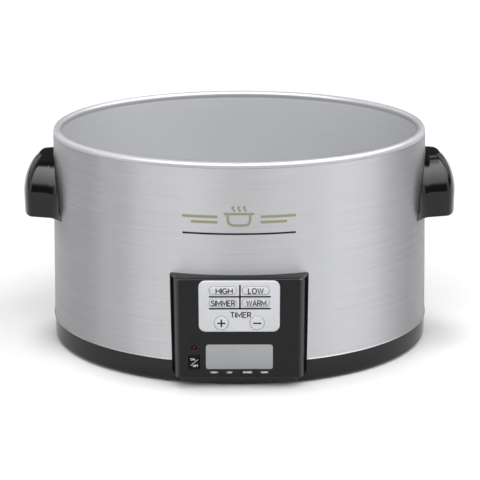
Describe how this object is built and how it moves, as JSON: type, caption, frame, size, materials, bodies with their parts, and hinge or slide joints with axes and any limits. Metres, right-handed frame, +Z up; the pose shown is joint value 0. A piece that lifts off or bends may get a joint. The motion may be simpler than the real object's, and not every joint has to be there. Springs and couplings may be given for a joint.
{
  "type": "slow cooker",
  "caption": "Oval slow cooker heating base with brushed steel shell, open heated well, two side handles and a front push-key control panel.",
  "frame": {"origin": "centre of the oval, on the plane that the rubber feet stand on", "axes": "+X along the oval's length towards the right handle, +Y towards the back, away from the control panel, +Z up"},
  "size_m": [0.37, 0.2722, 0.187],
  "materials": {
    "brushed_shell": "horizontal brush lines, satin",
    "rim_metal": "bright satin bead",
    "well_metal": "smooth matt grey",
    "plated_steel": "zinc plated",
    "mica_band": "mica sheet in a steel jacket",
    "glass_fibre": "needled glass-fibre blanket",
    "black_moulding": "glossy black",
    "panel_black": "semi-gloss black",
    "bottom_black": "matt black",
    "foot_rubber": "matt",
    "keypad_silver": "silver, satin",
    "key_silver": "silver, satin",
    "key_black": "satin black",
    "display_lens": "grey tinted window",
    "lcd_glass": "blank grey-green display",
    "white_plastic": "matt white",
    "led_red": "dark red, unlit",
    "board_green": "solder mask",
    "board_brown": "phenolic board",
    "part_dark": "moulded",
    "relay_blue": "moulded",
    "terminal_green": "moulded",
    "cable_grey": "ribbon cable",
    "mains_brown": "wire sleeve",
    "silicone_sleeve": "glass-fibre and silicone sleeve",
    "fuse_brass": "satin",
    "sensor_ceramic": "matt",
    "blank_label": "blank foil label"
  },
  "bodies": {
    "housing": {"outer_shell": "brushed_shell", "rim_ring": "rim_metal", "heating_well": "well_metal", "band_heater": "mica_band", "heater_insulation": "glass_fibre", "heater_strap": "plated_steel", "strap_rivets": "plated_steel", "heat_shield": "plated_steel", "centre_stud": "plated_steel", "stud_spacer": "plated_steel", "stud_washer": "plated_steel", "stud_nut": "plated_steel", "base_ring": "black_moulding", "bottom_plate": "bottom_black", "rubber_feet": "foot_rubber", "base_screws": "plated_steel", "rating_label": "blank_label", "cord_gland": "bottom_black", "gland_nut": "bottom_black", "left_handle": "black_moulding", "right_handle": "black_moulding", "handle_plates": "plated_steel", "handle_screws": "plated_steel", "panel_bezel": "panel_black", "keypad_plate": "keypad_silver", "display_window": "display_lens", "lcd_panel": "lcd_glass", "lcd_frame": "white_plastic", "power_led": "led_red", "control_board": "board_green", "tact_switches": "part_dark", "control_board_screws": "plated_steel", "panel_back_cover": "bottom_black", "panel_screws": "plated_steel", "ribbon_cable": "cable_grey", "power_board": "board_brown", "power_board_screws": "plated_steel", "transformer": "part_dark", "relay": "relay_blue", "capacitors": "part_dark", "terminal_block": "terminal_green", "mains_wires": "mains_brown", "heater_leads": "silicone_sleeve", "thermal_fuse": "fuse_brass", "fuse_clip": "plated_steel", "temperature_sensor": "sensor_ceramic", "sensor_clip": "plated_steel"},
    "key_high": {"key_high": "key_silver"},
    "key_low": {"key_low": "key_silver"},
    "key_simmer": {"key_simmer": "key_silver"},
    "key_warm": {"key_warm": "key_silver"},
    "key_timer_up": {"key_timer_up": "key_silver"},
    "key_timer_down": {"key_timer_down": "key_silver"},
    "key_power": {"key_power": "key_black"}
  },
  "joints": [
    {"name": "key_high_press", "type": "slide", "parent": "housing", "child": "key_high", "axis": [0, 1, 0], "range_m": [0, 0.0006], "stiffness_N_per_m": 1500},
    {"name": "key_low_press", "type": "slide", "parent": "housing", "child": "key_low", "axis": [0, 1, 0], "range_m": [0, 0.0006], "stiffness_N_per_m": 1500},
    {"name": "key_simmer_press", "type": "slide", "parent": "housing", "child": "key_simmer", "axis": [0, 1, 0], "range_m": [0, 0.0006], "stiffness_N_per_m": 1500},
    {"name": "key_warm_press", "type": "slide", "parent": "housing", "child": "key_warm", "axis": [0, 1, 0], "range_m": [0, 0.0006], "stiffness_N_per_m": 1500},
    {"name": "key_timer_up_press", "type": "slide", "parent": "housing", "child": "key_timer_up", "axis": [0, 1, 0], "range_m": [0, 0.0006], "stiffness_N_per_m": 1500},
    {"name": "key_timer_down_press", "type": "slide", "parent": "housing", "child": "key_timer_down", "axis": [0, 1, 0], "range_m": [0, 0.0006], "stiffness_N_per_m": 1500},
    {"name": "key_power_press", "type": "slide", "parent": "housing", "child": "key_power", "axis": [0, 1, 0], "range_m": [0, 0.0006], "stiffness_N_per_m": 1500}
  ]
}
